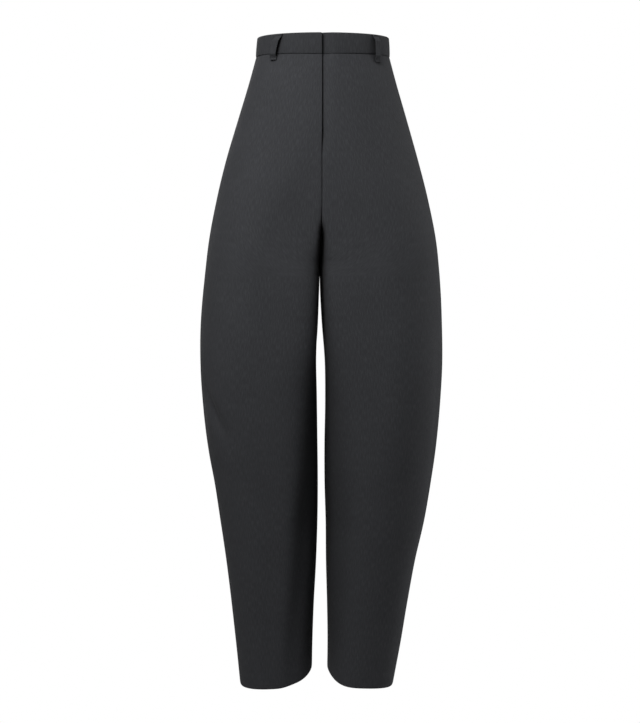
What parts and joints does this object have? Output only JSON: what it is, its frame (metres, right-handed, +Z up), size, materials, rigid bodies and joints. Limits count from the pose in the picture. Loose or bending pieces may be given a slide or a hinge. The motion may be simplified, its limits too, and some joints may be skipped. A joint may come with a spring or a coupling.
{
  "type": "barrel leg trousers",
  "caption": "High-waisted charcoal wool trousers with a concealed fly, belt loops and barrel legs that curve in to plain hems.",
  "frame": {"origin": "the middle of the waist, halfway up the waistband", "axes": "+Z up, -Y to the front of the trousers, +X to the wearer's left"},
  "size_m": [0.4123, 0.2614, 1.1065],
  "materials": {
    "charcoal_wool": "matte fine wool suiting",
    "charcoal_wool_band": "matte fine wool suiting",
    "zip_tape_black": "woven polyester tape"
  },
  "bodies": {
    "root": {"front_right": "charcoal_wool", "front_left": "charcoal_wool", "back_right": "charcoal_wool", "back_left": "charcoal_wool", "waistband_right": "charcoal_wool_band", "waistband_left": "charcoal_wool_band", "belt_loop_front_right": "charcoal_wool_band", "belt_loop_front_left": "charcoal_wool_band", "belt_loop_back_right": "charcoal_wool_band", "belt_loop_back_left": "charcoal_wool_band", "belt_loop_back_centre": "charcoal_wool_band", "fly_zip": "zip_tape_black"}
  },
  "joints": []
}
